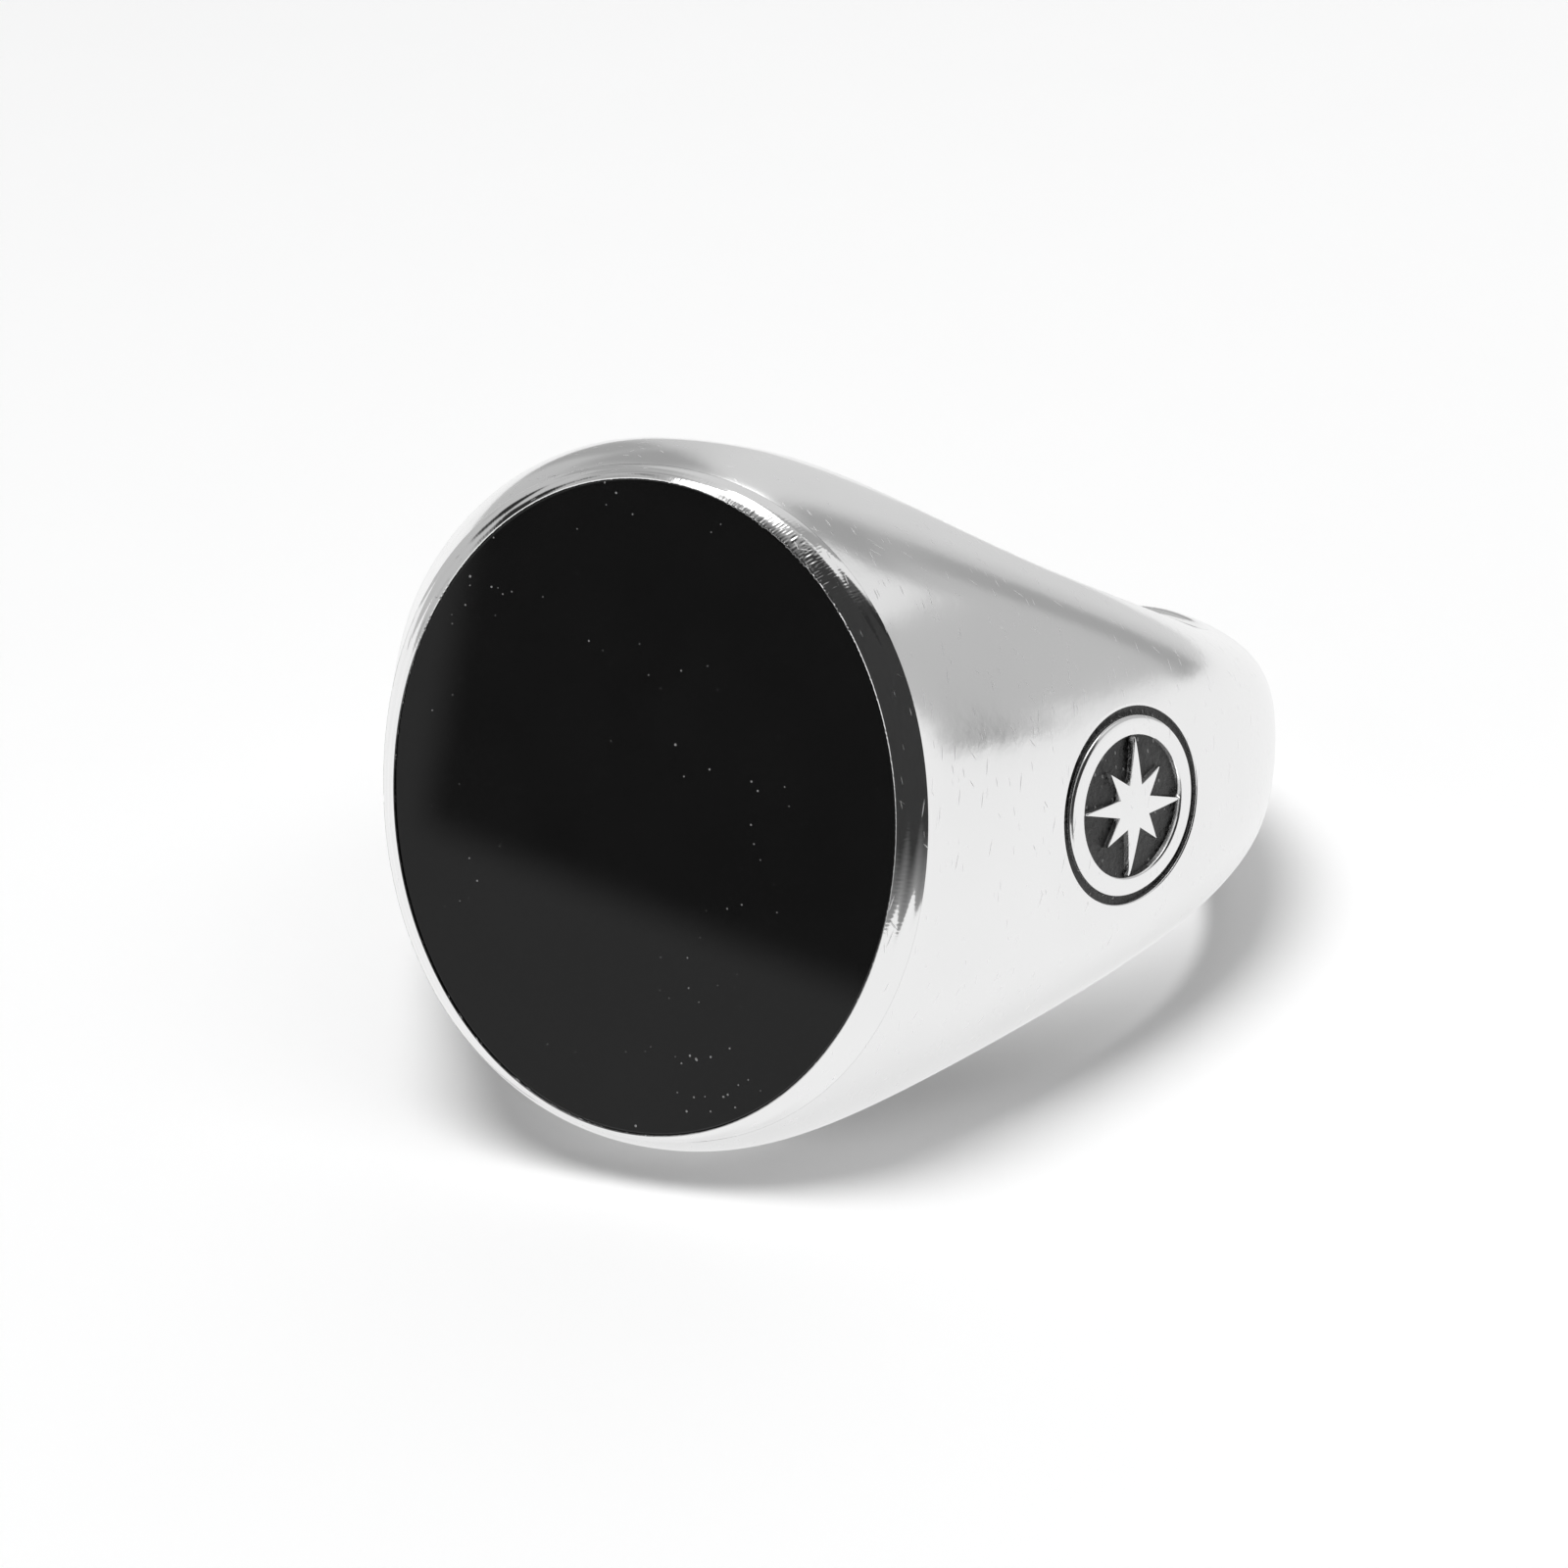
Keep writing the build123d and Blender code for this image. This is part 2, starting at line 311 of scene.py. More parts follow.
def body_column(path):
    """Full column at one turn: the outer surface, round the bore's edge, through the bore and back."""
    corner = path[-1]
    outer = resample(cut_back(path, BORE_EDGE_ROUND), OUTER_ROWS)
    wall_start = corner - np.array([0, BORE_EDGE_ROUND, 0])
    edge = rounded_corner(outer[-1], corner, wall_start, EDGE_ROWS)
    wall = np.linspace(edge[-1], edge[-1] * np.array([1, 0, 1]), WALL_ROWS + 1)[1:]
    half = np.vstack([outer, edge, wall])
    return np.vstack([half, mirrored(half, 1)[-2::-1]])


def surface_x(y, z):
    """x of the shoulder's surface where y is well inside its section."""
    half_length = half_length_at(z)
    full = fullness_at(z)
    t = solve_falling(lambda value: -quarter_oval(value, full)[1], -np.abs(y) / half_length)
    return half_width_at(z) * quarter_oval(t, full)[0]


def badge_axes():
    """Centre of the right badge on the shoulder, and its axes: along the finger, up and outwards."""
    step = 0.05
    fall = (half_width_at(BADGE_HEIGHT - step) - half_width_at(BADGE_HEIGHT + step)) / (2 * step)
    centre = np.array([half_width_at(BADGE_HEIGHT), 0, BADGE_HEIGHT])
    outward = np.array([1, 0, fall]) / math.hypot(1, fall)
    along = np.array([0.0, 1.0, 0.0])
    return centre, along, np.cross(outward, along), outward


BADGE_CENTRE, BADGE_ALONG, BADGE_UP, BADGE_OUT = badge_axes()


def on_shoulder(u, v, depth=0.0):
    """Points on the shoulder at places (u, v) in the badge's plane, or below it by a depth."""
    flat = BADGE_CENTRE + np.multiply.outer(u, BADGE_ALONG) + np.multiply.outer(v, BADGE_UP)
    lift = np.zeros_like(u)
    for _ in range(12):
        point = flat + lift[..., None] * BADGE_OUT
        miss = point[..., 0] - surface_x(point[..., 1], point[..., 2])
        lift = lift - miss * BADGE_OUT[0]
    return flat + (lift - depth)[..., None] * BADGE_OUT


def hole_block(columns):
    """Range of columns and the rows each side of the middle line that make way for the badge."""
    reach = GROOVE_RADIUS + 0.75
    first, last = RIM_COLUMNS + 1, RIM_COLUMNS + SIDE_COLUMNS
    ups = (columns[first:last, 0] - BADGE_CENTRE) @ BADGE_UP
    inside = np.nonzero(np.abs(ups) < reach)[0]
    middle = columns[first + inside[len(inside) // 2]]
    rows = int(np.searchsorted(middle[:OUTER_ROWS, 1], reach))
    return first + inside[0], first + inside[-1], rows


def badge_surround(columns, first, last, rows):
    """Rings of quads from the edge of the block in to the badge's groove, and down its pocket."""
    top, bottom = columns[first], columns[last]
    upper = [top[i] for i in range(rows, 0, -1)] + [top[0]] + [top[-1 - i] for i in range(1, rows)]
    near = [columns[j][-1 - rows] for j in range(first, last)]
    lower = [bottom[-1 - i] for i in range(rows, 0, -1)] + [bottom[0]] + [bottom[i] for i in range(1, rows)]
    far = [columns[j][rows] for j in range(last, first, -1)]
    border = np.array(upper + near + lower + far + upper[:1])
    u, v = (border - BADGE_CENTRE) @ BADGE_ALONG, (border - BADGE_CENTRE) @ BADGE_UP
    angle = np.arctan2(v, u)
    edge_round = 0.05
    circle = np.stack([np.cos(angle), np.sin(angle)]) * (GROOVE_RADIUS + edge_round)
    rings = []
    steps = 12
    for index in range(steps):
        share = (index / steps) ** 1.3
        rings.append(on_shoulder(circle[0] + (u - circle[0]) * share, circle[1] + (v - circle[1]) * share))
    rings.append(border)
    wall = []
    for drop in (BADGE_POCKET_DEPTH, 0.45, edge_round + 0.1):
        wall.append(on_shoulder(np.cos(angle) * GROOVE_RADIUS, np.sin(angle) * GROOVE_RADIUS, drop))
    for quarter in (1.0, 0.75, 0.5, 0.25):
        turn = quarter * math.pi / 2
        radius = GROOVE_RADIUS + edge_round * (1 - math.sin(turn))
        drop = edge_round * (1 - math.cos(turn))
        wall.append(on_shoulder(np.cos(angle) * radius, np.sin(angle) * radius, drop))
    floor = []
    for share in (0.0, 0.35, 0.7):
        radius = GROOVE_RADIUS * share
        floor.append(on_shoulder(np.cos(angle) * radius, np.sin(angle) * radius, BADGE_POCKET_DEPTH))
    return np.array(floor + wall + rings)


def oval(half, height, count=OVAL_COLUMNS, fullness=STONE_FULLNESS):
    """Closed oval at a height, its last point the same as its first."""
    t = np.linspace(0, 1, count // 4 + 1)
    x, y = quarter_oval(t, fullness)
    x, y = x * half[0], y * half[1]
    x = np.concatenate([x, -x[-2::-1], -x[1:], x[-2::-1]])
    y = np.concatenate([y, y[-2::-1], -y[1:], -y[-2::-1]])
    return np.stack([x, y, np.full_like(x, height)], axis=-1)


def rim_oval(half, height, count=OVAL_COLUMNS):
    """Closed oval at a height, with the rim's fullness."""
    return oval(half, height, count, RIM_FULLNESS)


def ring_body(material):
    """Silver head, shoulders and band in one casting."""
    columns = np.array([body_column(path) for path in outer_paths()])
    first, last, rows = hole_block(columns)
    grid = columns.transpose(1, 0, 2)
    keep = np.ones((grid.shape[0] - 1, grid.shape[1] - 1), bool)
    keep[:rows, first:last] = False
    keep[-rows:, first:last] = False
    surround = badge_surround(columns, first, last, rows)
    seat_half = RIM_HALF - RIM_LAND
    seat = [rim_oval(RIM_HALF, RIM_HEIGHT), rim_oval(seat_half, RIM_HEIGHT - 0.01)]
    seat.append(rim_oval(seat_half, SEAT_FLOOR + 0.6))
    seat += [rim_oval(seat_half * share, SEAT_FLOOR) for share in (1, 0.8, 0.6, 0.4, 0.2, 0)]
    return make_piece(
        "silver_ring_body",
        [(grid, keep), (mirrored(grid, 0), keep), surround, mirrored(surround, 0), np.array(seat)],
        material, "ring_body",
    )


# ---------------------------------------------------------------- stone setting

def hand_wave(angle, seed, lowest, highest, size):
    """Small hand-made unevenness round a closed line: a seeded sum of waves of a usual size."""
    source = np.random.default_rng(seed)
    total = np.zeros_like(angle)
    for count in range(lowest, highest):
        total += source.normal() * np.sin(count * angle + source.uniform(0, 2 * math.pi))
    return size * total / math.sqrt((highest - lowest) / 2)


def pushed_out(row, distance):
    """A closed row of points with each point moved straight away from the middle of the face."""
    row = row.copy()
    row[:, :2] *= 1 + distance[:, None] / np.hypot(row[:, 0], row[:, 1])[:, None]
    return row


def hand_worked(angle, elsewhere):
    """How hard the bevel was worked round the ring: most at one upper corner, less elsewhere."""
    return elsewhere + (1 - elsewhere) * np.exp(-((angle - 0.95) / 0.35) ** 2)


def bevel_row(share, angle):
    """One row of the bevel, from its outer edge (share 0) to the lip's crest (share 1)."""
    start, crest = RIM_HALF - 0.004, STONE_HALF + 0.025
    # Rounder across at two places; streaks run along it, with dents and, towards the stone, file marks
    roundness = 0.015 + 0.08 * np.exp(-((angle - 1.2) / 0.5) ** 2)
    roundness += 0.05 * np.exp(-((angle - 4.8) / 0.5) ** 2)
    streaks = 0.006 * np.sin(2 * math.pi * (share - 0.68 - hand_wave(angle, 3, 1, 9, 0.08)) * 2.2)
    dents = hand_wave(angle, 5, 5, 40, 0.0018)
    turned = np.sin(9 * share + hand_wave(angle, 23, 20, 90, 2.0))
    chatter = hand_wave(angle, 11, 150, 620, 0.0028) * turned * hand_worked(angle, 0.15) * share
    fade = math.sin(math.pi * min(share, 1 - share))
    lift = 0.7 * (roundness * math.sin(math.pi * share) + (streaks + dents) * fade + chatter)
    full = RIM_FULLNESS + (STONE_FULLNESS - RIM_FULLNESS) * share
    row = pushed_out(oval(start + (crest - start) * share, 0.0, BEVEL_COLUMNS, full), lift)
    row[:, 2] = np.minimum(RIM_HEIGHT + (BEVEL_TOP - RIM_HEIGHT) * share + lift, BEVEL_TOP)
    return row


def bezel_collar(material):
    """Silver collar whose bevelled top is burnished by hand, ending in a thin lip over the stone."""
    outer, girdle = RIM_HALF - RIM_LAND, STONE_HALF + LIP_COVER
    angle = np.linspace(0, 2 * math.pi, BEVEL_COLUMNS + 1)
    wall_heights = (SEAT_FLOOR, STONE_BOTTOM, RIM_HEIGHT - 0.1, RIM_HEIGHT - 0.006)
    rows = [rim_oval(outer, height, BEVEL_COLUMNS) for height in wall_heights]
    rows += [bevel_row(index / BEVEL_ROWS, angle) for index in range(BEVEL_ROWS + 1)]
    ragged = np.abs(hand_wave(angle, 17, 30, 420, 0.022)) * hand_worked(angle, 0.2)
    rows.append(pushed_out(oval(STONE_HALF + 0.005, BEVEL_TOP - 0.005, BEVEL_COLUMNS), -ragged))
    rows.append(pushed_out(oval(STONE_HALF - 0.008, STONE_TOP + 0.01, BEVEL_COLUMNS), -ragged))
    inside = ((STONE_HALF, STONE_TOP - 0.03), (girdle, STONE_TOP - 0.12), (girdle, SEAT_FLOOR))
    rows += [oval(half, height, BEVEL_COLUMNS) for half, height in inside]
    rows.append(rim_oval(outer, SEAT_FLOOR, BEVEL_COLUMNS))
    return make_piece("bezel_collar_polished", [np.array(rows)], material, "bezel_collar")


def onyx(material):
    """Flat black stone with a fine rounded edge."""
    edge, steps = 0.05, 5
    rows = [oval(STONE_HALF * share, STONE_TOP) for share in (0, 0.2, 0.4, 0.6, 0.8, 0.95)]
    rows.append(oval(STONE_HALF - edge - 0.01, STONE_TOP))
    for index in range(steps + 1):
        turn = math.pi / 2 * index / steps
        inset = edge * (1 - math.sin(turn))
        rows.append(oval(STONE_HALF - inset, STONE_TOP - edge * (1 - math.cos(turn))))
    girdle = STONE_HALF + LIP_COVER
    rows += [oval(girdle, STONE_TOP - 0.14), oval(girdle, STONE_BOTTOM)]
    rows += [oval(girdle * share, STONE_BOTTOM) for share in (0.5, 0)]
    return make_piece("onyx_stone", [np.array(rows)], material, "onyx_inlay")


# ---------------------------------------------------------------- badges

def star_outline(angle):
    """Radius of the compass star's outline at an angle: long and short points by turns."""
    step = math.pi / STAR_POINTS
    place = np.mod(angle - math.pi / 2, 4 * step)
    place = np.minimum(place, 4 * step - place)
    tip = np.where(place < step, STAR_LONG_REACH, STAR_SHORT_REACH)
    offset = np.where(place < step, place, 2 * step - place)
    tip_x, tip_y = tip, 0.0
    valley_x, valley_y = STAR_VALLEY_RADIUS * math.cos(step), STAR_VALLEY_RADIUS * math.sin(step)
    cross = tip_x * valley_y - tip_y * valley_x
    return cross / (np.sin(offset) * (tip_x - valley_x) + np.cos(offset) * (valley_y - tip_y))


BADGE_ANGLES = np.linspace(0, 2 * math.pi, 385)


def badge_ring(radius, depth):
    """Closed ring of points round the badge, at a depth. The radius is one value or one per angle."""
    return on_shoulder(np.cos(BADGE_ANGLES) * radius, np.sin(BADGE_ANGLES) * radius, depth)


def badge_piece(side, kind, ending, rows, material):
    """A piece of the right badge, or of the left one, which is its mirror image."""
    node = ("right_" if side > 0 else "left_") + kind
    grid = np.array(rows)
    if side < 0:
        grid = mirrored(grid, 0)
    return make_piece(node + ending, [grid], material, node)


def badge(side, material):
    """Silver disc with a raised border and star round a sunk field."""
    star = np.minimum(star_outline(BADGE_ANGLES), BADGE_FIELD_RADIUS - STAR_CLEARANCE)
    soft = 0.025
    rows = [badge_ring(star * share, 0.02 * share) for share in (0, 0.25, 0.5, 0.75, 0.92)]
    rows += [
        badge_ring(star * (1 - soft), 0.024),
        badge_ring(star, 0.05),
        badge_ring(star + 0.012, BADGE_FLOOR_DEPTH),
        badge_ring(BADGE_FIELD_RADIUS - 0.012, BADGE_FLOOR_DEPTH),
        badge_ring(BADGE_FIELD_RADIUS, 0.05),
        badge_ring(BADGE_FIELD_RADIUS + soft, 0.02),
        badge_ring(BADGE_FIELD_RADIUS + 0.08, 0.004),
        badge_ring(BADGE_RADIUS - 0.1, 0.0),
        badge_ring(BADGE_RADIUS - 0.05, 0.006),
        badge_ring(BADGE_RADIUS - 0.018, 0.025),
        badge_ring(BADGE_RADIUS, 0.06),
        badge_ring(BADGE_RADIUS, BADGE_POCKET_DEPTH),
        badge_ring(BADGE_RADIUS * 0.5, BADGE_POCKET_DEPTH),
        badge_ring(0, BADGE_POCKET_DEPTH),
    ]
    return badge_piece(side, "badge", "_star", rows, material)


def filling(inner, outer, shares, depth, bottom):
    """Closed rows of an enamel filling between two outlines, sagging between them."""
    rows = [badge_ring(inner, bottom)]
    for share in shares:
        sag = ENAMEL_SAG * math.sin(math.pi * share) ** 0.6
        rows.append(badge_ring(inner + (outer - inner) * share, depth + sag))
    rows.append(badge_ring(outer, bottom))
    rows.append(rows[0])
    return rows


def field_enamel(side, material):
    """Black enamel in the badge's field, rising a little where it meets the silver."""
    inner = np.minimum(star_outline(BADGE_ANGLES), BADGE_FIELD_RADIUS - STAR_CLEARANCE) + 0.004
    outer = BADGE_FIELD_RADIUS - 0.004
    shares = (0, 0.08, 0.2, 0.35, 0.5, 0.65, 0.8, 0.92, 1)
    rows = filling(inner, outer, shares, BADGE_ENAMEL_DEPTH, BADGE_FLOOR_DEPTH - 0.01)
    return badge_piece(side, "field_enamel", "_fill", rows, material)


def groove_enamel(side, material):
    """Black filling in the groove round the badge."""
    inner, outer = BADGE_RADIUS + 0.003, GROOVE_RADIUS - 0.003
    shares = (0, 0.15, 0.35, 0.5, 0.65, 0.85, 1)
    rows = filling(inner, outer, shares, BADGE_GROOVE_DEPTH, BADGE_POCKET_DEPTH - 0.05)
    return badge_piece(side, "groove_enamel", "_fill", rows, material)


# ---------------------------------------------------------------- materials

def new_material(name):
    """A node material, a function that adds linked nodes to it, and its object coordinates. The
    function also sets the material's own two nodes, under the names shader and finish."""
    material = bpy.data.materials.new(name)
    material.use_nodes = True
    nodes, links = material.node_tree.nodes, material.node_tree.links
    shader, finish = nodes["Principled BSDF"], nodes["Material Output"]

    def add(kind, inputs=None, output=0, **settings):
        node = {"shader": shader, "finish": finish}.get(kind) or nodes.new(kind)
        for key, value in settings.items():
            setattr(node, key, value)
        for key, value in (inputs or {}).items():
            if hasattr(value, "is_output"):
                links.new(value, node.inputs[key])
            else:
                node.inputs[key].default_value = value
        return node.outputs[output] if node.outputs else None

    return material, add, add("ShaderNodeTexCoord", output="Object")


def scaled(add, value, share):
    """A value multiplied by a number."""
    return add("ShaderNodeMath", {0: value, 1: share}, operation="MULTIPLY")


def total(add, *values):
    """Sum of several values."""
    result = values[0]
    for value in values[1:]:
        result = add("ShaderNodeMath", {0: result, 1: value}, operation="ADD")
    return result


def noise(add, place, size_mm, detail=3.0):
    """Cloudy noise whose largest features have this size."""
    return add("ShaderNodeTexNoise", {"Vector": place, "Scale": 1 / (size_mm * MM), "Detail": detail})


def strokes(add, place, turn, cell_mm, thin):
    """Short strokes, 1 inside and 0 outside, one in each cell. thin is a stroke's half size in it."""
    cell = tuple(size * MM for size in cell_mm)
    turned = {"Vector": place, "Rotation": turn, "Scale": cell}
    cells = add("ShaderNodeMapping", turned, vector_type="TEXTURE")
    distance = add("ShaderNodeTexVoronoi", {"Vector": cells, "Scale": 1.0}, feature="F1")
    return add("ShaderNodeMapRange", {"Value": distance, "From Min": thin, "From Max": thin * 0.4})


def two_tones(add, share, dark, light):
    """Grey between two tones."""
    tones = {0: share, 6: (dark, dark, dark, 1), 7: (light, light, light, 1)}
    return add("ShaderNodeMix", tones, output=2, data_type="RGBA")


def silver_material(name, roughness, wave_depth, brush_depth, scratch_depth):
    """Polished silver: soft waves and fine brushing from polishing, and short scratch marks from wear, which
    are also painted lighter in tint as a painted glint.
    Depths are in millimetres."""
    material, add, place = new_material(name)
    waves = noise(add, place, 1.3, 3.0)
    patches = noise(add, place, 3.0, 5.0)
    grain = {"Vector": place, "Rotation": (0.3, 0.2, 0.4), "Scale": (1.0, 1.0, 12.0)}
    brushing = noise(add, add("ShaderNodeMapping", grain, vector_type="TEXTURE"), 0.07, 2.0)
    scratch_wear_and_glint = total(
        add,
        strokes(add, place, (-0.45, 0.1, -0.15), (0.9, 0.13, 2.4), 0.13),
        strokes(add, place, (-0.1, 0.3, -0.5), (0.9, 0.10, 1.6), 0.12),
        strokes(add, place, (0.1, 0.5, 0.4), (2.2, 0.12, 0.9), 0.11),
    )
    height = total(
        add,
        scaled(add, waves, wave_depth * MM),
        scaled(add, brushing, brush_depth * MM),
        scaled(add, scratch_wear_and_glint, scratch_depth * MM),
    )
    bumped = add("ShaderNodeBump", {"Height": height, "Strength": 1.0, "Distance": 1.0})
    limits = {"Value": patches, "To Min": roughness * 0.6, "To Max": roughness * 1.4}
    rough = total(add, add("ShaderNodeMapRange", limits), scaled(add, scratch_wear_and_glint, 0.5))
    # Scratch marks are painted lighter in tint: a painted glint, on top of their real bump and roughness
    tint = total(add, two_tones(add, patches, 0.845, 0.905), scaled(add, scratch_wear_and_glint, 0.08))
    add("shader", {"Base Color": tint, "Roughness": rough, "Normal": bumped, "Metallic": 1.0})
    return material


def onyx_material():
    """Polished black onyx with a little dust on it."""
    material, add, place = new_material("onyx_polished")
    cloud = noise(add, place, 2.0, 5.0)
    body = two_tones(add, cloud, 0.003, 0.006)
    grains = add("ShaderNodeTexVoronoi", {"Vector": place, "Scale": 1 / (0.32 * MM)})
    gathered = noise(add, place, 4.0, 1.0)
    limit = add("ShaderNodeMapRange", {"Value": gathered, "From Min": 0.44, "From Max": 0.66, "To Max": 0.1})
    dust = add("ShaderNodeMath", {0: grains, 1: limit}, operation="LESS_THAN")
    colour = add("ShaderNodeMix", {0: dust, 6: body, 7: (0.26, 0.26, 0.26, 1)}, output=2, data_type="RGBA")
    rough = add("ShaderNodeMapRange", {"Value": cloud, "To Min": 0.012, "To Max": 0.03})
    add("shader", {"Base Color": colour, "Roughness": total(add, rough, scaled(add, dust, 0.5)), "IOR": 1.54})
    return material


def enamel_material():
    """Black enamel, pitted and mottled grey where polish has stayed in it."""
    material, add, place = new_material("enamel_mottled")
    pits = noise(add, place, 0.16, 6.0)
    patches = noise(add, place, 0.9, 3.0)
    mixed = total(add, scaled(add, pits, 0.7), scaled(add, patches, 0.3))
    share = add("ShaderNodeMapRange", {"Value": mixed, "From Min": 0.45, "From Max": 0.68})
    specks = strokes(add, place, (0.0, 0.0, 0.0), (0.30, 0.26, 0.34), 0.2)
    height = total(add, scaled(add, pits, 0.03 * MM), scaled(add, specks, 0.02 * MM))
    bumped = add("ShaderNodeBump", {"Height": height, "Strength": 1.0, "Distance": 1.0})
    rough = add("ShaderNodeMapRange", {"Value": share, "To Min": 0.2, "To Max": 0.5})
    tone = total(add, two_tones(add, share, 0.003, 0.045), scaled(add, specks, 0.25))
    add("shader", {"Base Color": tone, "Roughness": rough, "Normal": bumped})
    return material


def cement_material():
    """Grey jeweller's cement, grainy and dull."""
    material, add, place = new_material("cement_grainy")
    grains = noise(add, place, 0.12, 6.0)
    height = scaled(add, grains, 0.02 * MM)
    bumped = add("ShaderNodeBump", {"Height": height, "Strength": 1.0, "Distance": 1.0})
    rough = add("ShaderNodeMapRange", {"Value": grains, "To Min": 0.7, "To Max": 0.95})
    add("shader", {"Base Color": two_tones(add, grains, 0.32, 0.5), "Roughness": rough, "Normal": bumped})
    return material


silver = silver_material("silver_polished", 0.14, 0.008, 0.0006, 0.0006)
bevel_silver = silver_material("silver_burnished", 0.08, 0.002, 0.0002, 0.001)
onyx_black = onyx_material()
enamel_black = enamel_material()

ring_body(silver)
bezel_collar(bevel_silver)
onyx(onyx_black)
for side in (1, -1):
    badge(side, silver)
    field_enamel(side, enamel_black)
    groove_enamel(side, enamel_black)

cement = frame["nodes"]["stone_cement"].data
cement.materials.clear()
cement.materials.append(cement_material())

# ---------------------------------------------------------------- studio

# Share of the floor that glossy rays see as a painted uniform glow
FLOOR_EVENNESS = 0.85


def add_floor():
    """Pale floor under the ring. Reflections see it partly as a uniform glow, a painted reflection that
    softens its shadows in them, as over a white card.
    """
    mesh = bmesh.new()
    bmesh.ops.create_grid(mesh, x_segments=1, y_segments=1, size=0.6)
    data = bpy.data.meshes.new("floor")
    mesh.to_mesh(data)
    mesh.free()
    material, add, place = new_material("floor_white")
    tone = two_tones(add, noise(add, place, 9.0), 0.925, 0.935)
    lit = add("shader", {"Base Color": tone, "Roughness": 0.6})
    # Painted reflection: glossy rays see the floor partly as a uniform glowing white
    painted_glow = add("ShaderNodeEmission", {"Color": (0.95, 0.95, 0.95, 1)})
    share = scaled(add, add("ShaderNodeLightPath", output="Is Glossy Ray"), FLOOR_EVENNESS)
    add("finish", {"Surface": add("ShaderNodeMixShader", {0: share, 1: lit, 2: painted_glow})})
    data.materials.append(material)
    floor = bpy.data.objects.new("floor", data)
    bpy.context.scene.collection.objects.link(floor)


add_floor()


# Brightness of the studio: walls behind and beside the ring, room in front, softbox and background,
# and the share of all that which lights the floor and other dull surfaces
WALL_SIDE = 0.55
WALL_BACK = 0.715
WALL_CORNER = 0.38
WALL_WINDOW = 0.85
WALL_SEAM = 0.40
WALL_LEDGE = 0.84
ROOM_DARK = 0.028
ROOM_FRONT = 0.08
ROOM_HIGH = 0.16
ROOM_TOP = 0.5
ROOM_CARD = 0.42
ROOM_HOOD = 0.85
ROOM_TABLE = 0.43
SOFTBOX = 2.4
BACKDROP = 0.96
TENT_ON_FLOOR = 0.56


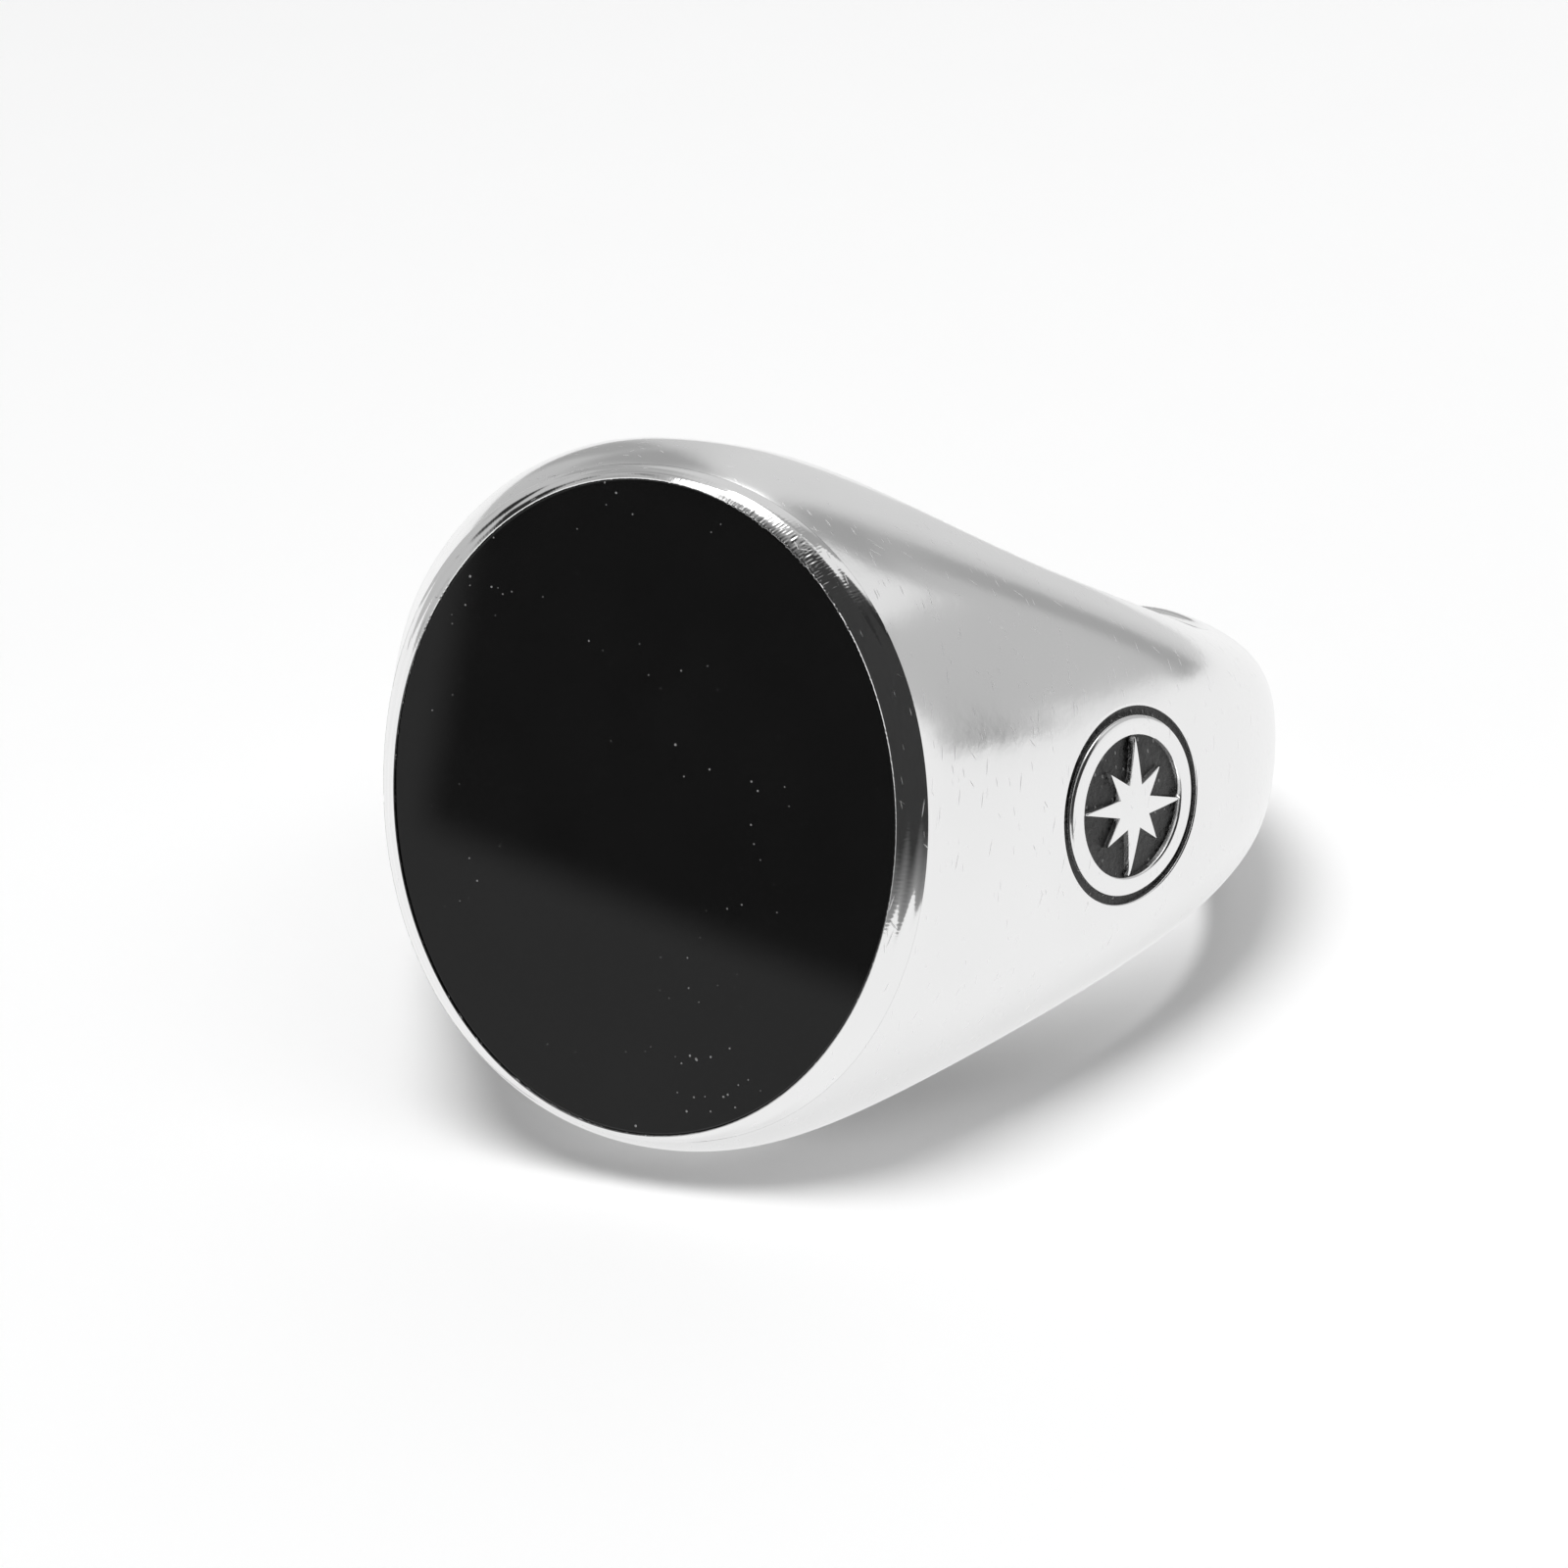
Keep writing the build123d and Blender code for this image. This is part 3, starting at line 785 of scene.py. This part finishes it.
def studio_world():
    """Soft light tent: pale walls behind and to the sides, a dark room in front of the ring, a softbox
    overhead. Directions are an azimuth, 0 towards -Y and 90 towards +X, and an elevation."""
    world = bpy.data.worlds.new("studio")
    world.use_nodes = True
    nodes, links = world.node_tree.nodes, world.node_tree.links

    def math_node(operation, *values, clamp=False):
        node = nodes.new("ShaderNodeMath")
        node.operation = operation
        node.use_clamp = clamp
        for socket, value in zip(node.inputs, values):
            if hasattr(value, "is_output"):
                links.new(value, socket)
            else:
                socket.default_value = value
        return node.outputs[0]

    def step_up(value, start, end):
        node = nodes.new("ShaderNodeMapRange")
        node.interpolation_type = "SMOOTHSTEP"
        links.new(value, node.inputs["Value"])
        node.inputs["From Min"].default_value = start
        node.inputs["From Max"].default_value = end
        return node.outputs["Result"]

    def between(value, low, high, soft):
        rise = step_up(value, low - soft, low + soft)
        fall = step_up(value, high + soft, high - soft)
        return math_node("MULTIPLY", rise, fall)

    def blend(under, over, share):
        gap = math_node("SUBTRACT", over, under)
        return math_node("ADD", under, math_node("MULTIPLY", gap, share))

    direction = nodes.new("ShaderNodeSeparateXYZ")
    links.new(nodes.new("ShaderNodeTexCoord").outputs["Generated"], direction.inputs[0])
    x, y, z = direction.outputs
    azimuth = math_node("MULTIPLY", math_node("ARCTAN2", x, math_node("MULTIPLY", y, -1.0)), 180 / math.pi)
    elevation = math_node("MULTIPLY", math_node("ARCSINE", z), 180 / math.pi)
    away = math_node("ABSOLUTE", azimuth)

    # Walls: darker high corners, a dark seam low down in each, and on the right a bright window high
    # up and a bright ledge at the floor
    walls = blend(WALL_SIDE, WALL_BACK, step_up(away, 145.0, 168.0))
    corner = math_node("MULTIPLY", between(away, 124.0, 152.0, 7.0), between(elevation, 32.0, 64.0, 8.0))
    walls = blend(walls, WALL_CORNER, corner)
    seam = math_node("MULTIPLY", between(away, 138.0, 151.0, 3.0), step_up(elevation, 38.0, 24.0))
    walls = blend(walls, WALL_SEAM, seam)
    window = math_node("MULTIPLY", between(azimuth, 100.0, 127.0, 2.0), between(elevation, 26.0, 58.0, 3.0))
    walls = blend(walls, WALL_WINDOW, window)
    ledge = math_node("MULTIPLY", between(azimuth, 107.0, 134.0, 2.5), step_up(elevation, 4.5, 1.5))
    walls = blend(walls, WALL_LEDGE, ledge)

    # Room in front: dark, paler upwards, with a pale hood over the left, a dim zone straight ahead, a
    # pale card low on the left, and the table's edge, which slants
    room = blend(ROOM_DARK, ROOM_HIGH, step_up(elevation, 38.0, 58.0))
    room = blend(room, ROOM_TOP, step_up(elevation, 56.0, 72.0))
    hood = math_node("MULTIPLY", between(azimuth, -64.0, -8.0, 4.0), step_up(elevation, 29.0, 36.0))
    room = blend(room, ROOM_HOOD, hood)
    low_front = step_up(elevation, 30.0, 20.0)
    room = blend(room, ROOM_FRONT, math_node("MULTIPLY", between(azimuth, -28.0, 22.0, 0.35), low_front))
    room = blend(room, ROOM_CARD, math_node("MULTIPLY", between(azimuth, -62.0, -28.0, 0.35), low_front))
    slant = math_node("ADD", elevation, math_node("MULTIPLY", math_node("ADD", azimuth, 24.8), 0.22))
    table = math_node("MULTIPLY", between(azimuth, -62.0, 20.0, 4.0), step_up(slant, 4.0, 3.2))
    room = blend(room, ROOM_TABLE, table)

    # The room takes the front half, except low on the left, where the wall reaches further forward
    in_front = between(azimuth, -118.0, 100.0, 4.0)
    low_left = math_node("MULTIPLY", between(azimuth, -126.0, -97.0, 3.0), step_up(elevation, 20.0, 14.0))
    tent = blend(walls, room, math_node("MULTIPLY", in_front, math_node("SUBTRACT", 1.0, low_left)))
    tent = blend(tent, SOFTBOX, step_up(elevation, 70.0, 77.0))

    # The camera sees a plain background, and dull surfaces get a share of the light
    rays = nodes.new("ShaderNodeLightPath").outputs
    tent = blend(tent, math_node("MULTIPLY", tent, TENT_ON_FLOOR), rays["Is Diffuse Ray"])
    tent = blend(tent, BACKDROP, rays["Is Camera Ray"])

    background = nodes["Background"]
    links.new(tent, background.inputs["Color"])
    bpy.context.scene.world = world


studio_world()


def add_fill(name, place, target, size, power):
    """Large soft light that only fills the floor: polished metal doesn't reflect it."""
    data = bpy.data.lights.new(name, "AREA")
    data.shape = "DISK"
    data.size = size
    data.energy = power
    lamp = bpy.data.objects.new(name, data)
    lamp.location = place
    lamp.rotation_euler = (Vector(target) - Vector(place)).to_track_quat("-Z", "Y").to_euler()
    lamp.visible_glossy = False
    bpy.context.scene.collection.objects.link(lamp)


add_fill("fill_front", (-0.10, -0.34, 0.16), (0, 0, 0), 0.3, 0.1)
add_fill("fill_overhead", (-0.06, -0.08, 0.80), (0, 0, 0), 0.40, 4.3)
add_fill("fill_right", (0.30, -0.05, 0.45), (0, 0, 0), 0.35, 0.45)


def add_dark_card():
    """Curved black card to the right of the camera, seen only in reflections. It glows faintly, and more at
    its foot: a painted reflection of the dark room in front and of the floor below it.
    """
    mesh = bmesh.new()
    radius, height = 0.036, 0.060
    start, end, steps = math.radians(34), math.radians(72), 32
    columns = []
    for index in range(steps + 1):
        turn = start + (end - start) * index / steps
        place = (radius * math.sin(turn), -radius * math.cos(turn))
        columns.append([mesh.verts.new((*place, z)) for z in (0.0002, height)])
    for left, right in zip(columns, columns[1:]):
        mesh.faces.new((left[0], right[0], right[1], left[1]))
    data = bpy.data.meshes.new("dark_card")
    mesh.to_mesh(data)
    mesh.free()
    material, add, place = new_material("card_black")
    height_up = add("ShaderNodeSeparateXYZ", {"Vector": place}, output="Z")
    # Painted glow: the card shines at the room's dark level, and brighter towards its foot
    limits = {"Value": height_up, "From Max": 0.008, "To Min": 0.3, "To Max": ROOM_DARK}
    add("shader", {
        "Base Color": (0.01, 0.01, 0.01, 1),
        "Emission Color": (1, 1, 1, 1),
        "Emission Strength": add("ShaderNodeMapRange", limits),
        "Roughness": 1.0,
    })
    data.materials.append(material)
    card = bpy.data.objects.new("dark_card", data)
    card.visible_camera = False
    card.visible_diffuse = False
    card.visible_shadow = False
    bpy.context.scene.collection.objects.link(card)


add_dark_card()
bpy.context.scene.view_settings.view_transform = "Standard"


def add_camera():
    """Camera at the photograph's viewing angle, from 112 mm away. It is turned about the ring's own
    axes, and moved sideways and up in its own picture plane."""
    turn, rise, roll = math.radians(23.378), math.radians(10.914), math.radians(1.41)
    distance, shift_right, shift_up = 112.222, -1.556, -1.439
    sensor_width, focal_length = 36, 92.657
    back = np.array([math.sin(turn) * math.cos(rise), math.sin(rise), math.cos(turn) * math.cos(rise)])
    right = np.array([math.cos(turn), 0, -math.sin(turn)])
    up = np.cross(back, right)
    tilted_right = math.cos(roll) * right + math.sin(roll) * up
    tilted_up = -math.sin(roll) * right + math.cos(roll) * up
    axes = [vector @ np.array([ACROSS, ALONG, OUTWARD]) for vector in (tilted_right, tilted_up, back)]
    place = to_row(shift_right * tilted_right + shift_up * tilted_up + distance * back)
    data = bpy.data.cameras.new("camera")
    data.sensor_width = sensor_width
    data.lens = focal_length
    data.clip_start = 0.005
    camera = bpy.data.objects.new("camera", data)
    camera.matrix_world = Matrix.Translation(Vector(place)) @ Matrix(np.array(axes).T.tolist()).to_4x4()
    bpy.context.scene.collection.objects.link(camera)
    bpy.context.scene.camera = camera


add_camera()
